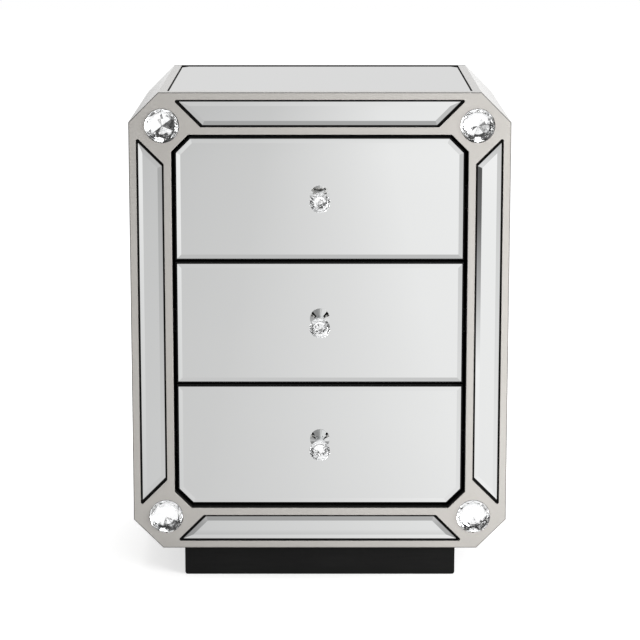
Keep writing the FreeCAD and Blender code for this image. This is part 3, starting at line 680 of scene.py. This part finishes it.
def make_corner_gems():
    """Four round foil-backed stones in the frame's corners."""
    low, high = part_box("corner_gems")
    half = math.pi / GEM_FACETS
    rings = [
        ("Point", GEM_FACETS // 2, 0.0),
        ("Pavilion", GEM_FACETS // 2, half),
        ("Girdle", GEM_FACETS, half),
        ("Girdle edge", GEM_FACETS, half),
        ("Crown", GEM_FACETS // 2, 0.0),
        ("Table", GEM_FACETS // 2, 2 * half),
    ]
    tree = cut_stone_tree("corner_gem_cut", rings, crystal_with_foil(CRYSTAL, GEM_FOIL))
    sizes = {
        "Point radius": GEM_POINT_RADIUS,
        "Point rise": -GEM_POINT_DEPTH,
        "Pavilion radius": GEM_PAVILION_RADIUS,
        "Pavilion rise": -GEM_PAVILION_DEPTH,
        "Girdle radius": GEM_RADIUS,
        "Girdle rise": 0.0,
        "Girdle edge radius": GEM_RADIUS,
        "Girdle edge rise": GEM_GIRDLE_RISE,
        "Crown radius": GEM_CROWN_RADIUS,
        "Crown rise": GEM_CROWN_RISE,
        "Table radius": GEM_TABLE_RADIUS,
        "Table rise": FRONT_Y - low.y,
    }
    places = []
    for x in (low.x + GEM_RADIUS, high.x - GEM_RADIUS):
        for z in (low.z + GEM_RADIUS, high.z - GEM_RADIUS):
            places.append((x, FRONT_Y, z))
    gems = pieces_at("corner_stones", places, tree, sizes, FORWARD_TURN)
    settle(gems, "cabinet", "cut_crystal", "corner_gems")


def knob_crystal_tree():
    """The knob crystal's cut: a cone at its foot, a narrow girdle and a faceted crown."""
    half = math.pi / KNOB_FACETS
    rings = [
        ("Foot", KNOB_FACETS, 0.0),
        ("Lower girdle", KNOB_FACETS, 0.0),
        ("Upper girdle", KNOB_FACETS, 0.0),
        ("Crown", KNOB_FACETS // 2, half),
        ("Table", KNOB_FACETS // 2, 3 * half),
    ]
    return cut_stone_tree("knob_crystal_cut", rings, crystal_with_foil(CRYSTAL, KNOB_FOIL))


def make_knob_crystal(name, tree):
    """A drawer's knob crystal, whose cone stands in its ferrule."""
    node = f"{name}_drawer_knob_crystal"
    low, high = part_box(node)
    radius = (high.x - low.x) / 2
    length = high.y - low.y
    upper = KNOB_CONE_LENGTH + KNOB_GIRDLE
    sizes = {
        "Foot radius": KNOB_FOOT_RADIUS,
        "Foot rise": 0.0,
        "Lower girdle radius": radius,
        "Lower girdle rise": KNOB_CONE_LENGTH,
        "Upper girdle radius": radius,
        "Upper girdle rise": upper,
        "Crown radius": KNOB_CROWN_RADIUS,
        "Crown rise": upper + (length - upper) * KNOB_CROWN_SHARE,
        "Table radius": KNOB_TABLE_RADIUS,
        "Table rise": length,
    }
    place = ((low.x + high.x) / 2, high.y, (low.z + high.z) / 2)
    crystal = pieces_at(f"{name}_knob_crystal", [place], tree, sizes, FORWARD_TURN)
    settle(crystal, f"{name}_drawer", "cut_crystal", node)


def make_knob_ferrule(name):
    """A drawer's chrome ferrule: a rounded flange, a coved stem and a cup with a rounded lip."""
    node = f"{name}_drawer_knob_ferrule"
    low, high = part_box(node)
    flange = (high.x - low.x) / 2
    length = high.y - low.y
    rim = (flange - FERRULE_RIM_ROUND, FERRULE_RIM_HEIGHT)
    foot_cove = (FERRULE_STEM_RADIUS + FERRULE_FOOT_COVE, FERRULE_FOOT_COVE_HEIGHT)
    cup_cove = (FERRULE_STEM_RADIUS + FERRULE_CUP_COVE, length - FERRULE_CUP_COVE_DROP)
    lip = (FERRULE_LIP_RADIUS, length - FERRULE_LIP_DROP)
    profile = [(FERRULE_HOLE_RADIUS, 0.0), (flange, 0.0)]
    profile += rounded(rim, FERRULE_RIM_ROUND, 0, 80)
    profile += rounded(foot_cove, FERRULE_FOOT_COVE, 250, 180)
    profile += rounded(cup_cove, FERRULE_CUP_COVE, 180, 120)
    profile += rounded(lip, FERRULE_LIP_ROUND, 0, 90)
    profile += [(FERRULE_SEAT_RADIUS, length - FERRULE_SEAT_GAP)]
    foot = ((low.x + high.x) / 2, high.y, (low.z + high.z) / 2)
    ferrule = turned(f"{name}_knob_ferrule", profile, foot, CHROME)
    settle(ferrule, f"{name}_drawer", "polished_metal", node)


# Screws

def screw_places(node):
    """The middle (x, z) of every screw in a CAD node, from the corners of its mesh."""
    groups = []
    for corner in NODES[node].data.vertices:
        place = NODES[node].matrix_world @ corner.co
        for group in groups:
            if math.hypot(place.x - group[0].x, place.z - group[0].z) < SCREW_SPACING:
                group.append(place)
                break
        else:
            groups.append([place])
    middles = []
    for group in groups:
        across = [place.x for place in group]
        up = [place.z for place in group]
        middles.append(((min(across) + max(across)) / 2, (min(up) + max(up)) / 2))
    return middles


def make_screws(tree):
    """Cross-head screws: countersunk in the back panel, and with a pan head inside each drawer front."""
    cross = {"Cross length": CROSS_LENGTH, "Cross width": CROSS_WIDTH, "Cross depth": CROSS_DEPTH}
    low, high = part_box("back_panel_screws")
    seat = high.y - BACK_SCREW_HEAD_RISE
    sizes = {
        **cross,
        "Crown radius": BACK_SCREW_HEAD_RADIUS,
        "Foot radius": BACK_SCREW_SHANK_RADIUS,
        "Head rise": BACK_SCREW_HEAD_RISE,
        "Shank radius": BACK_SCREW_SHANK_RADIUS,
        "Shank length": seat - low.y,
    }
    places = [(x, seat, z) for x, z in screw_places("back_panel_screws")]
    screws = pieces_at("back_screws", places, tree, sizes, BACKWARD_TURN, SCREW_SPIN_STEP)
    settle(screws, "cabinet", "zinc_steel", "back_panel_screws")
    for name in DRAWERS:
        node = f"{name}_drawer_knob_screw"
        low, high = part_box(node)
        seat = high.y - KNOB_SCREW_HEAD_RISE
        sizes = {
            **cross,
            "Crown radius": KNOB_SCREW_CROWN_RADIUS,
            "Foot radius": KNOB_SCREW_HEAD_RADIUS,
            "Head rise": KNOB_SCREW_HEAD_RISE,
            "Shank radius": KNOB_SCREW_SHANK_RADIUS,
            "Shank length": seat - low.y,
        }
        place = ((low.x + high.x) / 2, seat, (low.z + high.z) / 2)
        screw = pieces_at(f"{name}_knob_screw", [place], tree, sizes, BACKWARD_TURN)
        settle(screw, f"{name}_drawer", "zinc_steel", node)


# Stage

def soft_lamp(name, place, aim, size, power):
    """A square soft box that points at a spot; mirrors don't show it."""
    light = bpy.data.lights.new(name, "AREA")
    light.shape = "SQUARE"
    light.size = size
    light.energy = power
    lamp = bpy.data.objects.new(name, light)
    lamp.location = place
    lamp.rotation_euler = (Vector(aim) - Vector(place)).to_track_quat("-Z", "Y").to_euler()
    lamp.visible_camera = False
    lamp.visible_glossy = False
    bpy.context.scene.collection.objects.link(lamp)


def seen_in_glass(tree):
    """The share of rays that come by way of a mirror or a stone, and of those straight from the eye."""
    path = add(tree, "ShaderNodeLightPath")
    mirrored = calc(tree, "MAXIMUM", path.outputs["Is Glossy Ray"], path.outputs["Is Transmission Ray"])
    return mirrored, path.outputs["Is Camera Ray"]


def through_stones(tree, direction, level):
    """A level that gives way to bright lamps and dark stands for rays that come through a stone."""
    sockets = {"Vector": direction, "W": KIT_SEED, "Scale": KIT_SCALE, "Detail": 0.0}
    noise = add(tree, "ShaderNodeTexNoise", sockets, noise_dimensions="4D")
    lean = add(tree, "ShaderNodeVectorMath", {0: direction, 1: KIT_LEAN}, operation="DOT_PRODUCT")
    kit = level_along(tree, calc(tree, "ADD", noise.outputs[0], lean.outputs["Value"]), KIT_LEVELS)
    through = add(tree, "ShaderNodeLightPath").outputs["Is Transmission Ray"]
    return calc(tree, "MULTIPLY_ADD", through, calc(tree, "SUBTRACT", kit, level), level)


def floor_sweep(tree, place):
    """The floor as mirrors see it: dimmer on the left, with a painted shadow of the cabinet close by, and
    dark far to the right in front.
    """
    parts = add(tree, "ShaderNodeSeparateXYZ", {"Vector": place})
    beside = calc(tree, "SUBTRACT", calc(tree, "ABSOLUTE", parts.outputs["X"]), BODY_HALF_WIDTH)
    ahead = calc(tree, "SUBTRACT", calc(tree, "ABSOLUTE", parts.outputs["Y"]), -FRONT_Y)
    cabinet_shadow = level_along(tree, calc(tree, "MAXIMUM", beside, ahead), FLOOR_CABINET_SHADOW)
    sweep = calc(tree, "MULTIPLY", level_along(tree, parts.outputs["X"], FLOOR_SWEEP), cabinet_shadow)
    before = calc(tree, "SUBTRACT", FRONT_Y, parts.outputs["Y"])
    in_front = level_along(tree, before, FLOOR_DARK_AHEAD)
    dark = calc(tree, "MULTIPLY", level_along(tree, parts.outputs["X"], FLOOR_DARK), in_front)
    return calc(tree, "MULTIPLY", sweep, calc(tree, "SUBTRACT", 1.0, dark))


def floor_finish():
    """A pale floor with the object's shadow: it fades to white for the eye, and mirrors see its sweep."""
    finish = bpy.data.materials.new("studio_floor")
    finish.use_nodes = True
    tree = finish.node_tree
    tree.nodes.clear()
    place = object_place(tree)
    mirrored, seen = seen_in_glass(tree)
    away = add(tree, "ShaderNodeVectorMath", {0: place}, operation="LENGTH").outputs["Value"]
    fade = level_along(tree, away, FLOOR_FADE)
    from_stones = add(tree, "ShaderNodeVectorMath", {0: place, 1: STONE_MIDDLE}, operation="SUBTRACT")
    outwards = add(tree, "ShaderNodeVectorMath", {0: from_stones.outputs[0]}, operation="NORMALIZE")
    sweep = through_stones(tree, outwards.outputs[0], floor_sweep(tree, place))
    lift = calc(tree, "MULTIPLY_ADD", mirrored, sweep, calc(tree, "MULTIPLY", seen, fade))
    shade = calc(tree, "MULTIPLY_ADD", mirrored, -FLOOR_TONE, FLOOR_TONE)
    coat = add(tree, "ShaderNodeBsdfDiffuse", {"Color": shade})
    glow = add(tree, "ShaderNodeEmission", {"Color": WHITE, "Strength": lift})
    both = add(tree, "ShaderNodeAddShader")
    tree.links.new(coat.outputs[0], both.inputs[0])
    tree.links.new(glow.outputs[0], both.inputs[1])
    sink = tree.nodes.new("ShaderNodeOutputMaterial")
    tree.links.new(both.outputs[0], sink.inputs["Surface"])
    return finish


def make_floor():
    """One wide square just under the plinth."""
    turns = ((-1, -1), (1, -1), (1, 1), (-1, 1))
    corners = [(x * FLOOR_HALF, y * FLOOR_HALF, -FLOOR_DROP) for x, y in turns]
    mesh = bpy.data.meshes.new("floor")
    mesh.from_pydata(corners, [], [(0, 1, 2, 3)])
    mesh.materials.append(floor_finish())
    floor = bpy.data.objects.new("floor", mesh)
    bpy.context.scene.collection.objects.link(floor)


def room_level(tree, direction):
    """The room as mirrors see it: a front and a back wall under a ceiling that is dim on its left."""
    parts = add(tree, "ShaderNodeSeparateXYZ", {"Vector": direction})
    back_share = level_along(tree, parts.outputs["Y"], FRONT_TO_BACK)
    back = level_along(tree, parts.outputs["Z"], BACK_WALL)
    front = level_along(tree, parts.outputs["Z"], FRONT_WALL)
    walls = calc(tree, "MULTIPLY_ADD", back_share, calc(tree, "SUBTRACT", back, front), front)
    ceiling = level_along(tree, parts.outputs["X"], CEILING_LEVELS)
    height = level_along(tree, parts.outputs["Z"], CEILING_START)
    return calc(tree, "MULTIPLY_ADD", height, calc(tree, "SUBTRACT", ceiling, walls), walls)


def make_world():
    """White to the eye, a pale room to mirrors and stones, and an even fill to paint."""
    world = bpy.data.worlds.new("studio")
    world.use_nodes = True
    bpy.context.scene.world = world
    tree = world.node_tree
    tree.nodes.clear()
    direction = add(tree, "ShaderNodeTexCoord").outputs["Generated"]
    room = through_stones(tree, direction, room_level(tree, direction))
    mirrored, seen = seen_in_glass(tree)
    level = calc(tree, "MULTIPLY_ADD", mirrored, calc(tree, "SUBTRACT", room, ROOM_FILL), ROOM_FILL)
    level = calc(tree, "MAXIMUM", level, seen)
    sky = add(tree, "ShaderNodeBackground", {"Color": WHITE, "Strength": level})
    sink = tree.nodes.new("ShaderNodeOutputWorld")
    tree.links.new(sky.outputs[0], sink.inputs["Surface"])


def make_camera():
    """The photograph's camera."""
    camera = bpy.data.cameras.new("camera")
    camera.lens = CAMERA_LENS
    camera.sensor_width = SENSOR_WIDTH
    camera.sensor_fit = "HORIZONTAL"
    view = bpy.data.objects.new("camera", camera)
    view.location = CAMERA_PLACE
    view.rotation_euler = (math.radians(90 - CAMERA_PITCH), 0.0, math.radians(CAMERA_YAW))
    bpy.context.scene.collection.objects.link(view)
    bpy.context.scene.camera = view


def make_stage():
    """Floor, room, camera and lamps, with enough light bounces for the stones."""
    make_floor()
    make_world()
    make_camera()
    for name, (place, aim, size, power) in LAMPS.items():
        soft_lamp(name, place, aim, size, power)
    bpy.context.scene.view_settings.view_transform = "Standard"
    paths = bpy.context.scene.cycles
    paths.max_bounces = STONE_BOUNCES
    paths.glossy_bounces = STONE_BOUNCES
    paths.transmission_bounces = STONE_BOUNCES


finish_cabinet()
make_corner_gems()
knob_cut = knob_crystal_tree()
for drawer in DRAWERS:
    finish_drawer(drawer)
    make_knob_crystal(drawer, knob_cut)
    make_knob_ferrule(drawer)
make_screws(cross_screw_tree(ZINC))
make_stage()
